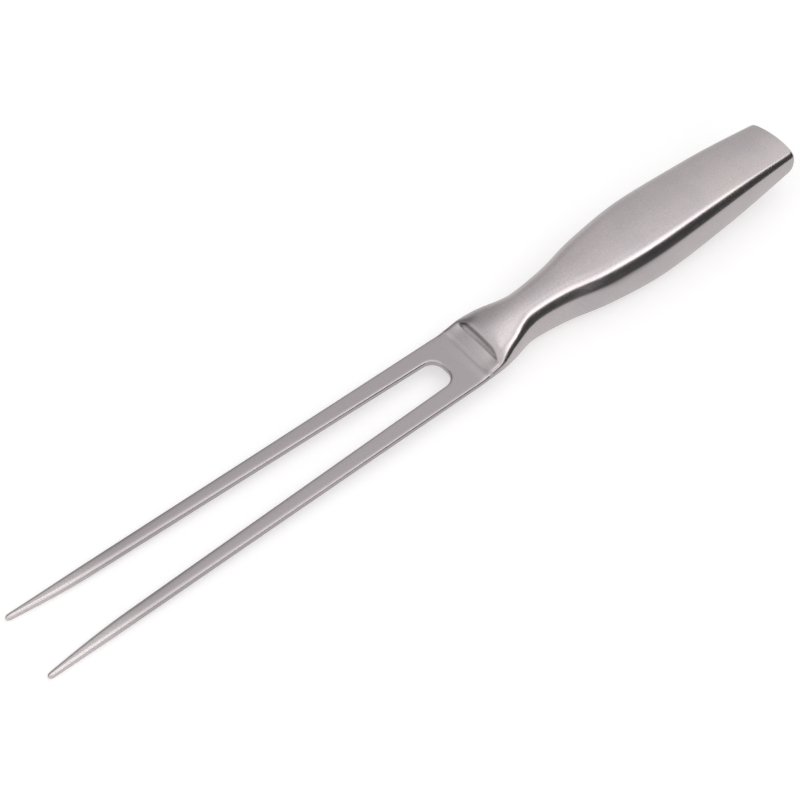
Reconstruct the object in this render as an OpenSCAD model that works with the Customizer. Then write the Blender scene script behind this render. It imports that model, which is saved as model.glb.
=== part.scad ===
// Carving fork: two long tines, a flat palm and a full, sculpted handle, all one piece of steel.
// It is drawn level, with x from the tine tips to the butt of the handle, y across and z up,
// and is then tipped to lie as it would on a table, on its tine tips and the belly of its handle.

/* [Lengths] */
// Tine, from its tip to the end of the slot
tine_l = 149.9; // [120:0.1:180]
// Palm, from the end of the slot to the crease in front of the handle
palm_l = 13.2; // [10:0.1:20]
// Neck, from the crease to the narrow waist
neck_l = 19.4; // [15:0.1:28]
// Handle, from the waist to the widest part of its belly
swell_l = 53.5; // [44:0.5:64]
// Handle, from the belly to the butt
heel_l = 64; // [50:0.5:80]

/* [Tines] */
// Width over the pair of tines at their tips
tip_span = 24.6; // [20:0.1:27]
// Gap between the tines at the end of the slot
gap_root = 10.6; // [8:0.1:12.5]
// Gap between the tines where their points start
gap_mouth = 16.4; // [13:0.1:16.6]
// Corner radius at the end of the slot
slot_r = 4.3; // [2:0.1:5]
// Length of the ground point of each tine
point_l = 25; // [15:1:40]
// Width of a tine just behind its rounded nose
tip_w = 2; // [1.6:0.1:2.4]
// Thickness of a tine just behind its rounded nose
tip_t = 1.9; // [1.6:0.1:2.4]
// Radius of the edges of a tine just behind its rounded nose
point_r = 1.1; // [0.3:0.05:1.2]
// Length of the rounded nose of a tine
nose_l = 1.3; // [0.8:0.1:2]

/* [Palm] */
// Width over the roots of the tines, at the end of the slot
root_w = 23; // [19:0.1:25]
// Width of the palm at the crease
palm_w = 23; // [19:0.1:25]
// Thickness of the palm and of the tines
plate_t = 2.4; // [2:0.1:3.2]
// Radius of the edges of the palm and of the tines
edge_r = 0.75; // [0.3:0.05:0.9]
// Length of the ramp from the flat palm up to the crease
ramp_l = 9; // [6:0.5:9.5]
// Distance of the ground line across the ramp from the crease
groove_gap = 4.4; // [3:0.1:5.5]
// Depth of the ground line across the ramp
groove_d = 0.3; // [0:0.01:0.4]
// Half the width of the ground line across the ramp
groove_w = 1.3; // [0.8:0.1:1.6]

/* [Neck] */
// Height of the crease above the middle of the palm
crease_h = 3; // [1.6:0.1:3.6]
// Height over the crease of the two rounded rims that run past its ends
rim_h = 0.5; // [0:0.1:1.5]
// Thickness of the steel at the crease
crease_t = 4.2; // [3:0.1:6]
// Corner radius at the crease
crease_r = 1.6; // [1.5:0.1:4]
// Length of the steep front behind the crease
front_l = 1.7; // [1:0.1:3]
// Height of the steep front behind the crease
front_h = 2.7; // [1:0.1:3]
// Crown of the ramp's top at the crease
crease_crown = 0.5; // [0:0.1:1.2]
// Distance of the shoulder from the crease
shoulder_l = 7.9; // [5:0.1:11]
// Crown of the shoulder's top
shoulder_crown = 1.7; // [0.4:0.1:2]
// Width of the shoulder
shoulder_w = 19.5; // [16:0.1:21]
// Thickness of the shoulder
shoulder_t = 11.8; // [8:0.1:13]
// Height of the middle of the shoulder above the middle of the palm
shoulder_rise = 1.8; // [0.4:0.1:2.2]
// Width of the waist
waist_w = 14.3; // [11:0.1:18]
// Thickness of the waist
waist_t = 15.7; // [12:0.1:18]
// Crown of the waist's top
waist_crown = 1.1; // [0.4:0.1:2]
// Height of the middle of the waist above the middle of the palm
waist_rise = 1.4; // [0:0.1:2]

/* [Handle] */
// Distance of the flank, where the handle starts to swell, from the waist
flank_l = 13.5; // [10:0.5:18]
// Width of the flank
flank_w = 16.4; // [13:0.1:20]
// Distance of the hip, where the swell is steepest, from the waist
hip_l = 27.5; // [22:0.5:36]
// Width of the hip
hip_w = 22.2; // [18:0.1:25]
// Thickness of the hip
hip_t = 18.7; // [15:0.1:20]
// Width of the belly
belly_w = 26.5; // [22:0.1:30]
// Thickness of the belly
belly_t = 21; // [18:0.1:24]
// Height of the middle of the belly above the middle of the palm
belly_rise = 1.8; // [0.5:0.1:2.5]
// Distance of the back of the handle from the belly
back_l = 29; // [20:0.5:38]
// Width of the back of the handle
back_w = 24.6; // [20:0.1:27]
// Thickness of the back of the handle
back_t = 19.2; // [15:0.1:20]
// Width of the butt
butt_w = 20.6; // [16:0.1:24]
// Thickness of the butt
butt_t = 13.2; // [9:0.1:16]
// Height of the middle of the butt above the middle of the palm
butt_rise = 2.5; // [1:0.1:4]

/* [Rounding] */
// Corner radius at the waist
waist_r = 4; // [3:0.1:6]
// Corner radius at the belly
belly_r = 4.6; // [3:0.1:6]
// Corner radius along the top of the butt
butt_r = 2; // [1.5:0.1:5]
// Corner radius along the bottom of the butt
heel_r = 5.2; // [2:0.1:6]
// Crown of the handle's top face
face_crown = 0.8; // [0.2:0.1:1.4]
// Crown of the handle's sides
side_crown = 0.7; // [0.2:0.1:1.2]
// Bulge of the butt's end face, seen from above
end_bulge = 1.5; // [0.5:0.1:3]
// Bulge of the butt's end face, seen from the side
end_dome = 1.9; // [0:0.1:2.5]
// Radius of the edge round the end face
end_r = 1.2; // [0.6:0.1:2]

/* [Hidden] */
steel = [0.7, 0.68, 0.68];

// Places along the fork
crease_x = tine_l + palm_l;
ramp_x = crease_x - ramp_l;
shoulder_x = crease_x + shoulder_l;
waist_x = crease_x + neck_l;
flank_x = waist_x + flank_l;
hip_x = waist_x + hip_l;
belly_x = waist_x + swell_l;
back_x = belly_x + back_l;
fork_l = belly_x + heel_l;
slot_corner_x = tine_l - slot_r;
// Where the last section that fans out from the slot's end meets the outer edge
fan_x = mix(tine_l + edge_r, ramp_x, 0.5);

// Cells of the surface: across a face, round an edge, up a side, and along each stretch
face_n = 6;
edge_n = 4;
side_n = 3;
nose_n = 4;
point_n = 7;
tine_n = 10;
corner_n = 7;
ramp_n = 14;
front_n = 12;
handle_n = 22;
end_n = 3;
cap_n = 2;
// How much closer together the sections stand just behind the crease
front_step = 1.6;
// Least corner radius of a section
least_r = 0.3;

function mix(a, b, t) = a + (b - a) * t;

// Curve through [x, value] stations, smooth and with no overshoot between them
function rise_of(s, i) = (s[i + 1][1] - s[i][1]) / (s[i + 1][0] - s[i][0]);
function mean_slope(a, b, la, lb) =
    a * b <= 0 ? 0 : 3 * (la + lb) / ((2 * lb + la) / a + (lb + 2 * la) / b);
function slope_at(s, i) =
    i == 0 ? rise_of(s, 0) :
    i == len(s) - 1 ? rise_of(s, i - 1) :
    mean_slope(rise_of(s, i - 1), rise_of(s, i), s[i][0] - s[i - 1][0], s[i + 1][0] - s[i][0]);
function span_of(s, x, i = 0) = i >= len(s) - 2 || x < s[i + 1][0] ? i : span_of(s, x, i + 1);
function hermite(a, b, da, db, l, t) =
    let (u = 1 - t) u * u * (1 + 2 * t) * a + t * t * (3 - 2 * t) * b + u * t * l * (u * da - t * db);
function curve(s, x, start = undef) =
    let (
        i = span_of(s, x),
        l = s[i + 1][0] - s[i][0],
        t = max(0, min(1, (x - s[i][0]) / l)),
        first = i == 0 && !is_undef(start) ? start : slope_at(s, i)
    )
    hermite(s[i][1], s[i + 1][1], first, slope_at(s, i + 1), l, t);

// Lines of the body along its length
half_widths = [
    [0, tip_span / 2], [tine_l, root_w / 2], [crease_x, palm_w / 2], [shoulder_x, shoulder_w / 2],
    [waist_x, waist_w / 2], [flank_x, flank_w / 2], [hip_x, hip_w / 2], [belly_x, belly_w / 2],
    [back_x, back_w / 2], [fork_l, butt_w / 2]
];
thicknesses = [
    [crease_x, crease_t], [shoulder_x, shoulder_t], [waist_x, waist_t], [hip_x, hip_t],
    [belly_x, belly_t], [back_x, back_t], [fork_l, butt_t]
];
middles = [
    [ramp_x, 0], [crease_x, crease_h - crease_t / 2], [shoulder_x, shoulder_rise], [waist_x, waist_rise],
    [belly_x, belly_rise], [fork_l, butt_rise]
];
radii = [[ramp_x, edge_r], [crease_x, crease_r], [waist_x, waist_r], [belly_x, belly_r]];
top_radii = concat(radii, [[fork_l, butt_r]]);
sole_radii = concat(radii, [[fork_l, heel_r]]);
face_crowns = [
    [ramp_x, 0], [crease_x, crease_crown], [shoulder_x, shoulder_crown], [waist_x, waist_crown],
    [hip_x, face_crown], [fork_l, face_crown]
];
side_crowns = [[crease_x, 0], [waist_x, side_crown], [fork_l, side_crown]];

function half_width(x) = curve(half_widths, x);
function middle(x) = x <= ramp_x ? 0 : curve(middles, x);

// Line ground across the ramp, as a shallow round-bottomed groove
function groove(x) =
    let (t = (x - crease_x + groove_gap) / groove_w) abs(t) < 1 ? groove_d * (1 + cos(180 * t)) / 2 : 0;

// Top face along its rims: from the flat palm smoothly up to the handle's back
rims = concat(
    [[ramp_x, plate_t / 2], [crease_x, crease_h + rim_h]],
    [for (s = thicknesses) if (s[0] > crease_x) [s[0], middle(s[0]) + s[1] / 2]]
);
function top(x) = x <= ramp_x ? plate_t / 2 : curve(rims, x, 0);

// Top face along its middle: ramp, crease, then the steep front that eases into the handle's back
ramp = [[ramp_x, plate_t / 2], [crease_x, crease_h]];
front = [
    [crease_x, crease_h], [crease_x + front_l, crease_h + front_h], [shoulder_x, top(shoulder_x)],
    [waist_x, top(waist_x)], [hip_x, top(hip_x)]
];
function ridge(x) = x <= crease_x ? curve(ramp, x, 0) - groove(x) : curve(front, x);
function swell(x) = x <= ramp_x || x >= waist_x ? 0 : ridge(x) - top(x);

// Share of the way from the ridge to the rims, by the distance from the middle line: it is 0 up to
// the ends of the crease
crease_end = 0.6;
rim_at = 0.98;
function smooth(t) = let (c = max(0, min(1, t))) c * c * (3 - 2 * c);
function rimward(u) = smooth((u - crease_end) / (rim_at - crease_end));

// Bottom face: flat under the palm, then swelling smoothly into the handle
bottoms = concat(
    [[ramp_x, -plate_t / 2], [crease_x, crease_h - crease_t]],
    [for (s = thicknesses) if (s[0] > crease_x) [s[0], middle(s[0]) - s[1] / 2]]
);
function bottom(x) = x <= ramp_x ? -plate_t / 2 : curve(bottoms, x, 0);

// Half of the gap between the tines: it widens to the mouth, then the points are ground outwards
tip_gap = tip_span / 2 - tip_w;
gap_slope = (gap_root - gap_mouth) / 2 / (slot_corner_x - point_l);
function half_gap(x) =
    let (
        straight = gap_root / 2 + (x - slot_corner_x) * gap_slope,
        flare = tip_gap - gap_root / 2 + slot_corner_x * gap_slope
    )
    straight + (x < point_l ? flare * pow(1 - x / point_l, 1.7) : 0);
function tine_half_t(x) = x < point_l ? mix(plate_t, tip_t, pow(1 - x / point_l, 2)) / 2 : plate_t / 2;

// Round edge between a face at height h and a side at offset 0, from the face to the side
function edge(h, r) = [for (k = [0:edge_n]) let (a = 90 * k / edge_n) [r * sin(a) - r, h - r + r * cos(a)]];
function back_to_front(list) = [for (k = [len(list) - 1:-1:0]) list[k]];
function below(list) = [for (p = back_to_front(list)) [p[0], -p[1]]];
function side(ht, hb, r, rb) = [for (k = [1:side_n - 1]) [0, mix(ht - r, rb - hb, k / side_n)]];

// Outer edge of a section, from the top face round to the bottom face
function outer_edge(ht, hb, r, rb) = concat(edge(ht, r), side(ht, hb, r, rb), below(edge(hb, rb)));

// Half a section between two edges: a top face, the outer edge and a bottom face, as [across, height]
function half_section(a, b, ht, hb, r, rb) = concat(
    [for (k = [0:face_n - 1]) [mix(a, b - r, k / face_n), ht]],
    [for (p = outer_edge(ht, hb, r, rb)) [b + p[0], p[1]]],
    [for (k = [face_n - 1:-1:0]) [mix(a, b - rb, k / face_n), -hb]]
);

// Section of a tine at its slot wall's point [x, y] with its wall facing angle a, and at outer_x
function tine_ring(x, y, a, outer_x) =
    let (
        h = tine_half_t(x),
        b = half_width(outer_x),
        r = min(x < point_l ? mix(point_r, edge_r, x / point_l) : edge_r, 0.48 * (b - y), 0.95 * h),
        out = half_section(y + r * cos(a), b, h, h, r, r),
        n = len(out) - 1,
        wall = outer_edge(h, h, r, r)
    )
    concat(
        [for (k = [0:n]) let (t = (out[k][0] - out[0][0]) / (b - out[0][0]))
            [mix(x + r * sin(a), outer_x, t), out[k][0], out[k][1]]],
        [for (k = [len(wall) - 2:-1:1]) let (p = wall[k])
            [x - p[0] * sin(a), y - p[0] * cos(a), p[1]]]
    );

// Rounded nose: the first section of the tine, shrunk to a point along a quarter round
function nose_ring(k) =
    let (
        a = 90 * k / nose_n,
        y = mix(half_gap(nose_l), half_width(nose_l), 0.5),
        ring = tine_ring(nose_l, half_gap(nose_l), 0, nose_l)
    )
    [for (p = ring) [nose_l * (1 - cos(a)), mix(y, p[1], sin(a)), p[2] * sin(a)]];

function corner_ring(k) =
    let (a = 90 * k / corner_n, x = slot_corner_x + slot_r * sin(a))
    tine_ring(x, gap_root / 2 - slot_r + slot_r * cos(a), a, mix(slot_corner_x, fan_x, k / (corner_n + 1)));

// Section of the body at x, set in from its outline by inset: crowned top and sides, and a flat
// sole for it to lie on
function body_ring(x, inset = 0) =
    let (
        w = half_width(x) - inset,
        m = middle(x),
        ht = top(x) - m - inset,
        hb = m - bottom(x) - inset,
        rt = curve(top_radii, x) - inset,
        rb = curve(sole_radii, x) - inset,
        kt = curve(face_crowns, x) / ht,
        ks = curve(side_crowns, x) / w,
        pts = half_section(0, w, ht, hb, max(least_r, min(rt, 0.8 * ht)), max(least_r, min(rb, 0.8 * hb)))
    )
    [for (p = pts) let (u = p[0] / w, over = p[1] > 0, v = p[1] / (over ? ht : hb))
        [
            x,
            p[0] * (1 - ks * v * v),
            m + (over ? p[1] * (1 - kt * u * u) + swell(x) * (1 - rimward(u)) : p[1])
        ]];

// Butt: the last sections curl over the end edge and close the slightly bulging end face
end_x = fork_l - end_r;
end_w = half_width(end_x);
end_m = middle(end_x);
end_h = top(end_x) - end_m;
function end_ring(k) =
    let (a = 90 * k / end_n)
    [for (p = body_ring(end_x, end_r * (1 - cos(a)))) [p[0] + end_r * sin(a), p[1], p[2]]];
function cap_ring(k) =
    let (t = 1 - k / (cap_n + 1))
    [for (p = end_ring(end_n)) [p[0], p[1] * t, mix(end_m, p[2], t)]];
function bulge(p) =
    let (t = max(0, (p[0] - back_x) / (fork_l - back_x)), u = p[1] / end_w, v = (p[2] - end_m) / end_h)
    [p[0] - (end_bulge * u * u + end_dome * v * v) * t * t, p[1], p[2]];

tine_rings = concat(
    [for (k = [1:nose_n]) nose_ring(k)],
    [for (k = [1:point_n]) let (x = mix(nose_l, point_l, k / point_n)) tine_ring(x, half_gap(x), 0, x)],
    [for (k = [1:tine_n]) let (x = mix(point_l, slot_corner_x, k / tine_n))
        tine_ring(x, half_gap(x), 0, x)],
    [for (k = [1:corner_n]) corner_ring(k)],
    [tine_ring(tine_l, 0, 90, fan_x)]
);
body_rings = concat(
    [body_ring(ramp_x)],
    [for (k = [1:ramp_n]) body_ring(mix(ramp_x, crease_x, k / ramp_n))],
    [for (k = [1:front_n]) body_ring(mix(crease_x, waist_x, pow(k / front_n, front_step)))],
    [for (k = [1:handle_n]) body_ring(mix(waist_x, end_x, k / handle_n))],
    [for (k = [1:end_n]) end_ring(k)],
    [for (k = [1:cap_n]) cap_ring(k)]
);

// The level fork's points: both sides' rings, then the two tips and the middle of the butt
ring_points = concat([for (r = tine_rings) each r], [for (r = body_rings) each [for (p = r) bulge(p)]]);
tip_y = mix(half_gap(nose_l), half_width(nose_l), 0.5);
level_points = concat(
    ring_points,
    [for (p = ring_points) [p[0], -p[1], p[2]]],
    [[0, tip_y, 0], [0, -tip_y, 0], [fork_l, 0, end_m]]
);

// Lying on a table: the pitch at which the tips and the lowest part of the handle both touch it
pitch = max([for (r = body_rings) let (low = min([for (p = r) p[2]]))
    atan((-tip_t / 2 - low) / (r[0][0] - nose_l))]);
lying_points = [for (p = level_points)
    [p[0] * cos(pitch) - p[2] * sin(pitch), p[1], p[0] * sin(pitch) + p[2] * cos(pitch)]];
xs = [for (p = lying_points) p[0]];
floor_z = min([for (p = lying_points) p[2]]);
middle_x = (min(xs) + max(xs)) / 2;

// Numbering: a tine's rings are closed, the body's are half rings that share the middle line
half_n = len(body_rings[0]);
ring_n = len(tine_rings[0]);
last_tine = len(tine_rings) - 1;
last_ring = last_tine + len(body_rings);
shared_from = half_n - 1;
function on_middle(i, j) = i >= last_tine && (j == 0 || j >= shared_from);
function place(i, j) =
    i <= last_tine ? i * ring_n + j : (last_tine + 1) * ring_n + (i - last_tine - 1) * half_n + j;
function id(s, i, j) = place(i, j) + (s == 0 || on_middle(i, j) ? 0 : len(ring_points));
function turned(s, f) = s == 0 ? f : back_to_front(f);
function cell(s, i, j, k) = [
    turned(s, [id(s, i, j), id(s, i, k), id(s, i + 1, k)]),
    turned(s, [id(s, i, j), id(s, i + 1, k), id(s, i + 1, j)])
];
tip_id = 2 * len(ring_points);
butt_id = tip_id + 2;
fork_faces = [for (s = [0, 1]) each concat(
    [for (j = [0:ring_n - 1]) turned(s, [tip_id + s, id(s, 0, (j + 1) % ring_n), id(s, 0, j)])],
    [for (i = [0:last_tine - 1], j = [0:ring_n - 1]) each cell(s, i, j, (j + 1) % ring_n)],
    [for (i = [last_tine:last_ring - 1], j = [0:half_n - 2]) each cell(s, i, j, j + 1)],
    [for (j = [0:half_n - 2]) turned(s, [butt_id, id(s, last_ring, j), id(s, last_ring, j + 1)])]
)];

module carving_fork() {
    color(steel)
        translate([-middle_x, 0, -floor_z])
            polyhedron(points = lying_points, faces = fork_faces);
}

carving_fork();
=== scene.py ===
"""Carving fork in satin steel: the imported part, polished and dressed, on a studio table.

All lengths are in metres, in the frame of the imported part: x runs from the tips of the tines to
the butt of the handle, y across it and z up from the table.
"""

from __future__ import annotations

import logging
import math
from dataclasses import dataclass, field
from enum import Enum
from typing import Any

import bpy  # noqa: E402
from mathutils import Matrix, Vector  # noqa: E402


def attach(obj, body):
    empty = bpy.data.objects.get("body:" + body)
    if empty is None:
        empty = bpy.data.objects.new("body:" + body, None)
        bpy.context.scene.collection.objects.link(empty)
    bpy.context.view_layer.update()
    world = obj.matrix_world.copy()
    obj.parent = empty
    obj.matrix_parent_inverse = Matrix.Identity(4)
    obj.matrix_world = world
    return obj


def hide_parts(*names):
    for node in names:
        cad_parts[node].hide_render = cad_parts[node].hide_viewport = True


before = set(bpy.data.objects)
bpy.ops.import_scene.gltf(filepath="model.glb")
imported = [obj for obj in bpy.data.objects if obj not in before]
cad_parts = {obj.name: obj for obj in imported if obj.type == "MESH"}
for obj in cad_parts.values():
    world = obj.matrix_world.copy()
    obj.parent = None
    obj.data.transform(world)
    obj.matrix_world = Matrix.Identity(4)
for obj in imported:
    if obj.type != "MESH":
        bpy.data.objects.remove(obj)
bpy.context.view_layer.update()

log = logging.getLogger("carving_fork")

MILLIMETRE = 0.001
WHITE = (1.0, 1.0, 1.0)


class Grain(Enum):
    """How far a pattern in the steel is drawn out along x, y and z."""

    EVEN = (1.0, 1.0, 1.0)
    LENGTHWISE = (0.06, 1.0, 1.0)


class Sheet:
    """A node tree that shader maths and nodes are written on."""

    def __init__(self, tree: bpy.types.NodeTree) -> None:
        """Clears a node tree.

        Args:
            tree: the tree of a material or of the world.
        """
        self.tree = tree
        tree.nodes.clear()

    def node(self, kind: str, settings: dict[str, Any] | None = None, **sockets: Any) -> bpy.types.Node:
        """Adds a node.

        Args:
            kind: the node's type name.
            settings: properties that are set before any socket is, by name.
            **sockets: input sockets by name, with _ for a space, or i and a number for one by
                place; each is given a number, a tuple or a Value to link.

        Returns:
            The new node.
        """
        made = self.tree.nodes.new(kind)
        for name, setting in (settings or {}).items():
            setattr(made, name, setting)
        for name, given in sockets.items():
            by_place = name[0] == "i" and name[1:].isdigit()
            socket = made.inputs[int(name[1:]) if by_place else name.replace("_", " ")]
            if isinstance(given, Value):
                self.tree.links.new(given.socket, socket)
            else:
                socket.default_value = given
        return made

    def value(self, node: bpy.types.Node, output: int | str = 0) -> Value:
        """Wraps one output of a node, so that sums can be written with it."""
        return Value(self, node.outputs[output])

    def maths(self, operation: str, *terms: Any) -> Value:
        """Adds a Math node.

        Args:
            operation: the Math node's operation.
            *terms: its numbers or Values, in order.

        Returns:
            The result.
        """
        places = {f"i{place}": term for place, term in enumerate(terms)}
        return self.value(self.node("ShaderNodeMath", {"operation": operation}, **places))

    def step(self, edge: Any, low: float, high: float) -> Value:
        """A smooth step from 0 at low to 1 at high.

        Args:
            edge: the value that is looked at.
            low: where the step starts.
            high: where it ends.

        Returns:
            The step, between 0 and 1.
        """
        settings = {"interpolation_type": "SMOOTHSTEP"}
        ranged = self.node("ShaderNodeMapRange", settings, i0=edge, i1=low, i2=high, i3=0.0, i4=1.0)
        return self.value(ranged)

    def mix(self, share: Any, first: Any, second: Any) -> Value:
        """Mixes two colours.

        Args:
            share: how much of the second one there is, from 0 to 1.
            first: a colour as red, green and blue, or a Value.
            second: another.

        Returns:
            The mixed colour.
        """
        made = self.node("ShaderNodeMix", {"data_type": "RGBA"}, i0=share)
        for place, colour in ((6, first), (7, second)):
            if isinstance(colour, Value):
                self.tree.links.new(colour.socket, made.inputs[place])
            else:
                made.inputs[place].default_value = (*colour, 1.0)
        return self.value(made, 2)

    def emission(self, colour: tuple[float, float, float], strength: Value) -> Value:
        """A glow of one colour.

        Args:
            colour: its red, green and blue.
            strength: how bright it is, where 1 is white.

        Returns:
            The glow, for a surface.
        """
        return self.value(self.node("ShaderNodeEmission", None, Color=(*colour, 1.0), Strength=strength))

    def seen_by_eye_or_mirror(self) -> Value:
        """1 where the camera, a reflection or a view through glass looks, and 0 for soft light."""
        path = self.node("ShaderNodeLightPath")
        rays = [self.value(path, f"Is {kind} Ray") for kind in ("Camera", "Glossy", "Transmission")]
        return self.maths("MINIMUM", rays[0] + rays[1] + rays[2], 1.0)


@dataclass(frozen=True)
class Value:
    """A number, colour or vector that comes out of a node."""

    sheet: Sheet
    socket: bpy.types.NodeSocket

    def __add__(self, other: Any) -> Value:
        """Adds a number or a Value."""
        return self.sheet.maths("ADD", self, other)

    def __sub__(self, other: Any) -> Value:
        """Takes a number or a Value away."""
        return self.sheet.maths("SUBTRACT", self, other)

    def __rsub__(self, other: Any) -> Value:
        """Takes this away from a number."""
        return self.sheet.maths("SUBTRACT", other, self)

    def __mul__(self, other: Any) -> Value:
        """Multiplies by a number or a Value."""
        return self.sheet.maths("MULTIPLY", self, other)

    def dot(self, direction: Vector | tuple[float, float, float]) -> Value:
        """How far this vector reaches along a direction."""
        unit = tuple(Vector(direction).normalized())
        made = self.sheet.node("ShaderNodeVectorMath", {"operation": "DOT_PRODUCT"}, i0=self, i1=unit)
        return self.sheet.value(made, "Value")


@dataclass(frozen=True)
class SatinSteel:
    """Stainless steel, finely blasted and then rubbed to a soft sheen.

    The handle has warm and cool clouds, the palm and the tines a plainer, darker tint, and the
    points of the tines a painted sheen that lightens them. Dark specks lie over all of it.
    """

    speck: tuple[float, float, float] = (0.5, 0.46, 0.475)
    specks: float = 0.28
    warm: tuple[float, float, float] = (0.73, 0.673, 0.668)
    cool: tuple[float, float, float] = (0.68, 0.633, 0.648)
    # A darker, plainer tint on the palm and the tines, fading into the handle's between x = 8 and 20 mm
    front_tint: tuple[float, float, float] = (0.575, 0.535, 0.55)
    front_tint_from: float = 20.0 * MILLIMETRE
    front_tint_to: float = 8.0 * MILLIMETRE
    # Painted sheen: the points of the tines are painted lighter, standing in for a brighter reflection
    # there
    painted_sheen: tuple[float, float, float] = (0.86, 0.81, 0.81)
    painted_sheen_from: float = 112.0 * MILLIMETRE
    painted_sheen_to: float = 140.0 * MILLIMETRE
    roughness: float = 0.21
    roughness_spread: float = 0.05
    rubbed: float = 0.05
    cloud: float = 14.0 * MILLIMETRE
    cloud_detail: float = 3.0
    grit: float = 0.42 * MILLIMETRE
    grit_detail: float = 2.0
    grit_depth: float = 0.0022 * MILLIMETRE
    scratch: float = 0.7 * MILLIMETRE
    scratch_detail: float = 3.0
    scratch_depth: float = 0.0016 * MILLIMETRE
    patch_edge: tuple[float, float] = (0.35, 0.65)

    def noise(self, sheet: Sheet, place: Value, size: float, grain: Grain, detail: float) -> Value:
        """A patchy pattern.

        Args:
            sheet: the material's node tree.
            place: where on the steel, as Object coordinates.
            size: the width of a patch.
            grain: which way the patches are drawn out.
            detail: how many finer patterns are laid over it.

        Returns:
            The pattern, about 0.5 on average.
        """
        drawn = sheet.node("ShaderNodeMapping", None, Vector=place, Scale=grain.value)
        made = sheet.node(
            "ShaderNodeTexNoise", None, Vector=sheet.value(drawn), Scale=1.0 / size, Detail=detail
        )
        return sheet.value(made, "Fac")

    def build(self) -> bpy.types.Material:
        """Makes the steel.

        Returns:
            The material.
        """
        material = bpy.data.materials.new("satin_steel")
        material.use_nodes = True
        sheet = Sheet(material.node_tree)
        place = sheet.value(sheet.node("ShaderNodeTexCoord"), "Object")
        clouds = self.noise(sheet, place, self.cloud, Grain.EVEN, self.cloud_detail)
        grit = self.noise(sheet, place, self.grit, Grain.EVEN, self.grit_detail)
        scratches = self.noise(sheet, place, self.scratch, Grain.LENGTHWISE, self.scratch_detail)
        tint = sheet.mix(sheet.step(clouds, *self.patch_edge), self.cool, self.warm)
        ahead = place.dot((-1.0, 0.0, 0.0))
        tint = sheet.mix(sheet.step(ahead, -self.front_tint_from, -self.front_tint_to), tint, self.front_tint)
        # Painted sheen: lightens the tines towards their points
        tint = sheet.mix(sheet.step(ahead, self.painted_sheen_from, self.painted_sheen_to), tint, self.painted_sheen)
        tint = sheet.mix(sheet.step(grit, *self.patch_edge) * self.specks, tint, self.speck)
        rough = (clouds - 0.5) * self.roughness_spread + (scratches - 0.5) * self.rubbed + self.roughness
        relief = grit * self.grit_depth + scratches * self.scratch_depth
        bump = sheet.node("ShaderNodeBump", None, Strength=1.0, Distance=1.0, Height=relief)
        steel = sheet.node(
            "ShaderNodeBsdfPrincipled", None, Base_Color=tint, Metallic=1.0, Roughness=rough,
            Normal=sheet.value(bump),
        )
        sheet.node("ShaderNodeOutputMaterial", None, Surface=sheet.value(steel))
        return material


@dataclass(frozen=True)
class PaleTable:
    """A matt white table top, which the camera and reflections see as plain white."""

    colour: tuple[float, float, float] = (0.8, 0.8, 0.8)
    lift: float = 0.42

    def build(self) -> bpy.types.Material:
        """Makes the table's finish.

        Returns:
            The material.
        """
        material = bpy.data.materials.new("pale_table")
        material.use_nodes = True
        sheet = Sheet(material.node_tree)
        matt = sheet.node("ShaderNodeBsdfDiffuse", None, Color=(*self.colour, 1.0))
        glow = sheet.emission(WHITE, sheet.seen_by_eye_or_mirror() * self.lift)
        both = sheet.node("ShaderNodeAddShader", None, i0=sheet.value(matt), i1=glow)
        sheet.node("ShaderNodeOutputMaterial", None, Surface=sheet.value(both))
        return material


@dataclass(frozen=True)
class PaintedReflectionCard:
    """A glowing card that only the steel's reflections see: a painted grey reflection, painted black in
    front of the handle.

    The black starts a little way in front of the fork, along a line that is bent in the middle,
    and ends on the left along a slanting one.
    """

    tint: tuple[float, float, float] = (1.0, 0.985, 0.99)
    grey: float = 0.65
    black: float = 0.07
    start: float = 0.027
    start_middle: float = 0.07
    start_slant: float = 0.25
    start_blur: float = 0.009
    left: float = 0.051
    left_slant: float = 0.084
    left_blur: float = 0.004

    def build(self) -> bpy.types.Material:
        """Makes the card's finish.

        Returns:
            The material.
        """
        material = bpy.data.materials.new("painted_reflection_card")
        material.use_nodes = True
        sheet = Sheet(material.node_tree)
        place = sheet.value(sheet.node("ShaderNodeTexCoord"), "Object")
        aside = place.dot((1.0, 0.0, 0.0))
        ahead = place.dot((0.0, -1.0, 0.0))
        before = ahead - sheet.maths("ABSOLUTE", aside - self.start_middle) * self.start_slant
        beside = aside - ahead * self.left_slant
        # Painted dark reflection: the card glows black in front of the handle, for the dark streak along
        # its near edge
        painted_dark = sheet.step(before, self.start - self.start_blur, self.start + self.start_blur)
        painted_dark = painted_dark * sheet.step(beside, self.left - self.left_blur, self.left + self.left_blur)
        strength = painted_dark * (self.black - self.grey) + self.grey
        # The card glows though it is no lamp: a painted grey reflection
        sheet.node("ShaderNodeOutputMaterial", None, Surface=sheet.emission(self.tint, strength))
        return material


def deselect_all() -> None:
    """Leaves nothing selected and no object active, in object mode."""
    for chosen in list(bpy.context.selected_objects):
        chosen.select_set(False)
    bpy.context.view_layer.objects.active = None


def choose(piece: bpy.types.Object) -> None:
    """Makes a piece the only one that is selected, and active."""
    deselect_all()
    piece.select_set(True)
    bpy.context.view_layer.objects.active = piece


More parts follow.
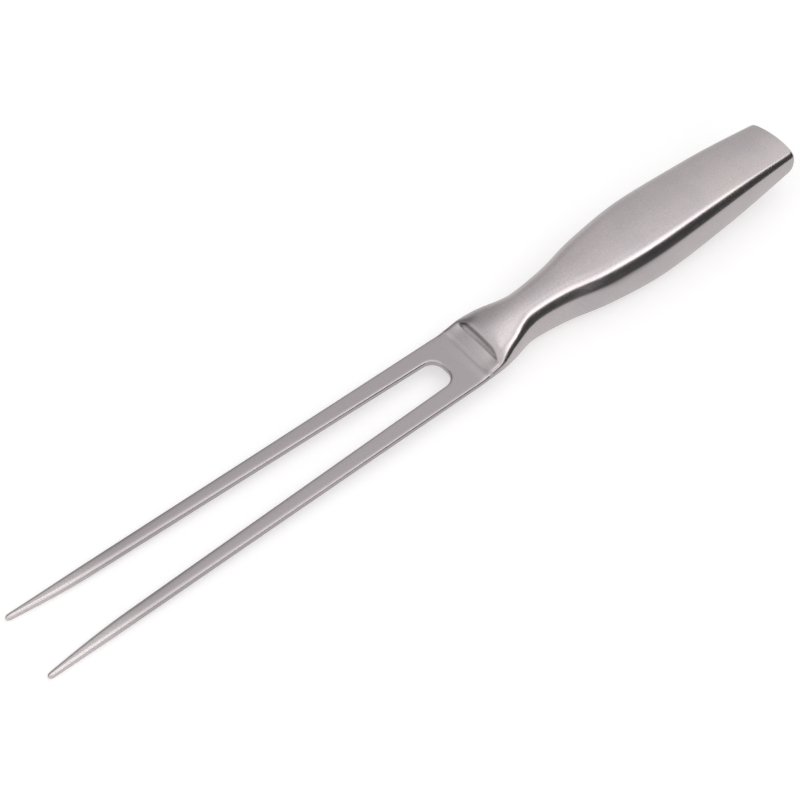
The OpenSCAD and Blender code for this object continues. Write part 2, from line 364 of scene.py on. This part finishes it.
@dataclass
class Fork:
    """The fork itself: tines, palm, neck and handle in one piece of steel."""

    node: str = "carving_fork"
    body: str = "root"
    slot: str = "satin_steel"
    weld: float = 0.002 * MILLIMETRE
    flatness: float = math.radians(50.0)
    rounding: int = 2
    crease_x: float = 13.15 * MILLIMETRE
    crease_reach: float = 0.17 * MILLIMETRE
    crease_sharpness: float = 0.8
    crease_facing: float = 0.2
    tine_crown: float = 0.3 * MILLIMETRE
    crown_power: float = 3.0
    crown_end: float = -30.0 * MILLIMETRE
    crown_height: float = 1.0 * MILLIMETRE
    # A tine from its point to its root: x, how far its middle is from y = 0, and half its width
    tine_line: tuple[tuple[float, float, float], ...] = (
        (-0.1499, 0.0113, 0.0010), (-0.1374, 0.0106, 0.0016), (-0.1249, 0.0102, 0.0020),
        (-0.0049, 0.0084, 0.0031),
    )
    groove_x: float = 8.68 * MILLIMETRE
    groove_half: float = 1.1 * MILLIMETRE
    groove_depth: float = 0.2 * MILLIMETRE
    groove_facing: float = 0.6
    # The middle of the tines' plate: its height at the points and how it climbs from there
    plate_foot: float = 0.93 * MILLIMETRE
    plate_slope: float = 0.0336
    finish: SatinSteel = field(default_factory=SatinSteel)

    def copy_of_part(self) -> bpy.types.Object:
        """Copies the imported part's mesh into a piece of its own and welds its loose triangles.

        Returns:
            The new piece, at the origin.
        """
        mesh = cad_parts[self.node].data.copy()
        mesh.materials.clear()
        piece = bpy.data.objects.new("polished_fork", mesh)
        bpy.context.scene.collection.objects.link(piece)
        choose(piece)
        bpy.ops.object.mode_set(mode="EDIT")
        bpy.ops.mesh.select_all(action="SELECT")
        bpy.ops.mesh.remove_doubles(threshold=self.weld)
        bpy.ops.mesh.tris_convert_to_quads(face_threshold=self.flatness, shape_threshold=self.flatness)
        bpy.ops.mesh.normals_make_consistent(inside=False)
        bpy.ops.object.mode_set(mode="OBJECT")
        return piece

    def on_crease(self, point: bpy.types.MeshVertex) -> bool:
        """Whether a point lies on the top of the crease."""
        return abs(point.co.x - self.crease_x) < self.crease_reach and point.normal.z > self.crease_facing

    def sharpen(self, piece: bpy.types.Object) -> None:
        """Keeps the crease in front of the handle crisp while the rest is polished round.

        Args:
            piece: the welded copy of the part.
        """
        mesh = piece.data
        sharp = mesh.attributes.new("crease_edge", "FLOAT", "EDGE")
        for edge in mesh.edges:
            ends = [mesh.vertices[index] for index in edge.vertices]
            if all(self.on_crease(end) for end in ends):
                sharp.data[edge.index].value = self.crease_sharpness

    def across_tine(self, x: float, y: float) -> float:
        """How far a point is from the middle line of its tine.

        Args:
            x: where along the fork.
            y: where across it.

        Returns:
            The distance, as a share of half the tine's width.
        """
        for (x0, y0, half0), (x1, y1, half1) in zip(self.tine_line, self.tine_line[1:]):
            if x < x1:
                break
        share = min(max((x - x0) / (x1 - x0), 0.0), 1.0)
        return (abs(y) - y0 - (y1 - y0) * share) / (half0 + (half1 - half0) * share)

    def crown_tines(self, piece: bpy.types.Object) -> None:
        """Rounds the tops of the tines across, the more so towards their points.

        Args:
            piece: the polished piece.
        """
        start = self.tine_line[0][0]
        for point in piece.data.vertices:
            x, y, z = point.co
            over = z - self.plate_foot - (x - start) * self.plate_slope
            if x < self.crown_end and over > 0.0:
                away = min((self.crown_end - x) / (self.crown_end - start), 1.0)
                high = min(over / self.crown_height, 1.0)
                drop = self.tine_crown * away * high * abs(self.across_tine(x, y)) ** self.crown_power
                point.co.z -= drop

    def grind_line(self, piece: bpy.types.Object) -> None:
        """Cuts the line that is ground across the ramp a little deeper and crisper.

        Args:
            piece: the polished piece.
        """
        for point in piece.data.vertices:
            away = abs(point.co.x - self.groove_x) / self.groove_half
            if away < 1.0 and point.normal.z > self.groove_facing:
                point.co.z -= self.groove_depth * (1.0 + math.cos(math.pi * away)) / 2

    def polish(self, piece: bpy.types.Object) -> None:
        """Rounds the facets of a piece away, as a grinder and a polishing belt would.

        Args:
            piece: the welded copy of the part.
        """
        self.sharpen(piece)
        choose(piece)
        smooth = piece.modifiers.new("polishing", "SUBSURF")
        smooth.levels = self.rounding
        smooth.render_levels = self.rounding
        bpy.ops.object.modifier_apply(modifier=smooth.name)
        self.crown_tines(piece)
        self.grind_line(piece)
        bpy.ops.object.shade_smooth()

    def build(self) -> bpy.types.Object:
        """Makes the fork and dresses it.

        Returns:
            The finished piece.
        """
        piece = self.copy_of_part()
        self.polish(piece)
        piece.data.materials.append(self.finish.build())
        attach(piece, self.body)
        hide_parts(self.node)
        return piece


def towards(azimuth: float, elevation: float) -> Vector:
    """A direction in the studio.

    Args:
        azimuth: 0 straight in front and 90 to the right, in degrees.
        elevation: 0 level and 90 straight up, in degrees.

    Returns:
        The direction, 1 long.
    """
    turn, rise = math.radians(azimuth), math.radians(elevation)
    return Vector((math.sin(turn) * math.cos(rise), -math.cos(turn) * math.cos(rise), math.sin(rise)))


@dataclass(frozen=True)
class Glow:
    """A round patch of the dome that is brighter or darker than the rest of it."""

    azimuth: float
    elevation: float
    strength: float
    core: float
    rim: float

    def over(self, sheet: Sheet, way: Value, strength: Any) -> Value:
        """Adds the patch to the dome.

        Args:
            sheet: the world's node tree.
            way: the direction that is looked in.
            strength: the dome's strength without it.

        Returns:
            The dome's strength with it.
        """
        rim, core = math.cos(math.radians(self.rim)), math.cos(math.radians(self.core))
        near = sheet.step(way.dot(towards(self.azimuth, self.elevation)), rim, core)
        return near * self.strength + strength


@dataclass(frozen=True)
class Flag:
    """A wide black flag that stands far off in the dome, given by the two ends of its top edge."""

    left: tuple[float, float] = (4.0, 38.0)
    right: tuple[float, float] = (90.0, 22.0)
    black: float = 0.05
    blur: float = 0.03

    def over(self, sheet: Sheet, way: Value, strength: Value) -> Value:
        """Stands the flag in front of the dome.

        Args:
            sheet: the world's node tree.
            way: the direction that is looked in.
            strength: the dome's strength without it.

        Returns:
            The dome's strength with it.
        """
        left, right, up = towards(*self.left), towards(*self.right), Vector((0.0, 0.0, 1.0))
        behind = sheet.step(way.dot(right.cross(left)), -self.blur, self.blur)
        behind = behind * sheet.step(way.dot(up.cross(left)), -self.blur, self.blur)
        behind = behind * sheet.step(way.dot(right.cross(up)), -self.blur, self.blur)
        return behind * (self.black - strength) + strength


@dataclass
class Studio:
    """The table, the dome of soft light over it and the glowing cards, painted reflections that the steel
    alone sees.
    """

    table_size: float = 12.0
    card_size: float = 6.0
    card_lift: float = 0.4 * MILLIMETRE
    dome_light: float = 0.57
    dome_tint: tuple[float, float, float] = (1.0, 0.985, 0.985)
    # The bright front, the main lamp, the lamp overhead, the dim back and the dim side on the left
    glows: tuple[Glow, ...] = (
        Glow(azimuth=-9.5, elevation=-3.4, strength=0.27, core=110.0, rim=132.0),
        Glow(azimuth=35.7, elevation=34.0, strength=1.12, core=0.0, rim=37.0),
        Glow(azimuth=0.0, elevation=90.0, strength=0.36, core=1.0, rim=23.6),
        Glow(azimuth=-165.0, elevation=26.0, strength=-0.32, core=0.0, rim=42.0),
        Glow(azimuth=-122.0, elevation=4.0, strength=-0.62, core=6.0, rim=28.0),
    )
    flag: Flag = field(default_factory=Flag)
    # A glowing card in front of the tines, seen only in reflections: a painted grey reflection
    front_glow_left: float = -0.6
    front_glow_right: float = 0.045
    front_glow_y: float = -0.25
    front_glow_height: float = 0.16
    table_finish: PaleTable = field(default_factory=PaleTable)
    # The cards' glow: painted grey and dark reflections in the steel
    reflection_paint: PaintedReflectionCard = field(default_factory=PaintedReflectionCard)

    def build_table(self) -> bpy.types.Object:
        """Lays the table top.

        Returns:
            The table.
        """
        deselect_all()
        bpy.ops.mesh.primitive_plane_add(size=self.table_size, location=(0.0, 0.0, 0.0))
        table = bpy.context.object
        table.name = "studio_table"
        table.data.materials.append(self.table_finish.build())
        return table

    def build_card(self, finish: bpy.types.Material) -> bpy.types.Object:
        """Lays the glowing card with the painted reflection on the table.

        Args:
            finish: its glow, which paints the reflection.

        Returns:
            The card.
        """
        deselect_all()
        bpy.ops.mesh.primitive_plane_add(size=self.card_size, location=(0.0, 0.0, self.card_lift))
        return self.show_in_reflections(bpy.context.object, "painted_reflection_card", finish)

    def build_front_glow(self, finish: bpy.types.Material) -> bpy.types.Object:
        """Stands a glowing card in front of the tines, a painted grey reflection in the steel.

        Args:
            finish: its glow, which paints the reflection.

        Returns:
            The card.
        """
        deselect_all()
        middle = ((self.front_glow_left + self.front_glow_right) / 2, self.front_glow_y, self.front_glow_height / 2)
        bpy.ops.mesh.primitive_plane_add(size=1.0, location=middle, rotation=(math.pi / 2, 0.0, 0.0))
        card = bpy.context.object
        card.scale = (self.front_glow_right - self.front_glow_left, self.front_glow_height, 1.0)
        return self.show_in_reflections(card, "front_glow_card", finish)

    def show_in_reflections(
        self, card: bpy.types.Object, name: str, finish: bpy.types.Material
    ) -> bpy.types.Object:
        """Names and finishes a card, and lets reflections alone see it.

        Args:
            card: the card that is selected.
            name: its name.
            finish: what it is made of.

        Returns:
            The same card.
        """
        bpy.ops.object.transform_apply(location=True, rotation=True, scale=True)
        card.name = name
        card.data.materials.append(finish)
        card.visible_camera = False
        card.visible_diffuse = False
        card.visible_shadow = False
        card.visible_transmission = False
        return card

    def light_dome(self) -> None:
        """Lights the studio from all round: soft from behind, brighter from above and in front."""
        world = bpy.data.worlds.new("soft_dome")
        bpy.context.scene.world = world
        world.use_nodes = True
        sheet = Sheet(world.node_tree)
        way = sheet.value(sheet.node("ShaderNodeTexCoord"), "Generated")
        strength: Any = self.dome_light
        for glow in self.glows:
            strength = glow.over(sheet, way, strength)
        strength = self.flag.over(sheet, way, strength)
        sky = sheet.node("ShaderNodeBackground", None, Color=(*self.dome_tint, 1.0), Strength=strength)
        sheet.node("ShaderNodeOutputWorld", None, Surface=sheet.value(sky))

    def build(self) -> list[bpy.types.Object]:
        """Sets the studio up.

        Returns:
            The things that stand in it.
        """
        self.light_dome()
        # The cards' glow paints reflections in the steel
        reflection_paint = self.reflection_paint.build()
        return [self.build_table(), self.build_card(reflection_paint), self.build_front_glow(reflection_paint)]


@dataclass(frozen=True)
class PhotoCamera:
    """The camera, where the photographer's stood."""

    aim: tuple[float, float, float] = (-0.01551, 0.00297, 0.0)
    distance: float = 0.45485
    azimuth: float = math.radians(-41.375)
    elevation: float = math.radians(53.323)
    roll: float = math.radians(2.654)
    focal_pixels: float = 1462.4
    picture_width: float = 800.0
    sensor_width: float = 36.0

    def build(self) -> bpy.types.Object:
        """Makes the camera and gives the scene it.

        Returns:
            The camera.
        """
        lens = bpy.data.cameras.new("photo_camera")
        lens.sensor_width = self.sensor_width
        lens.lens = self.focal_pixels / self.picture_width * self.sensor_width
        camera = bpy.data.objects.new("photo_camera", lens)
        bpy.context.scene.collection.objects.link(camera)
        flat = math.cos(self.elevation)
        back = Vector(
            (math.sin(self.azimuth) * flat, -math.cos(self.azimuth) * flat, math.sin(self.elevation))
        )
        level = (-back).to_track_quat("-Z", "Y").to_matrix()
        turned = level @ Matrix.Rotation(self.roll, 3, "Z")
        camera.matrix_world = Matrix.Translation(Vector(self.aim) + back * self.distance) @ turned.to_4x4()
        bpy.context.scene.camera = camera
        return camera


def main() -> None:
    """Builds the fork, the studio and the camera, and reports each piece."""
    logging.basicConfig(level=logging.INFO, format="%(name)s: %(message)s")
    bpy.context.scene.view_settings.view_transform = "Standard"
    fork = Fork().build()
    log.info("%s: %d faces", fork.name, len(fork.data.polygons))
    for thing in Studio().build():
        log.info("%s stands in the studio", thing.name)
    log.info("%s looks on", PhotoCamera().build().name)


if __name__ == "__main__":
    main()
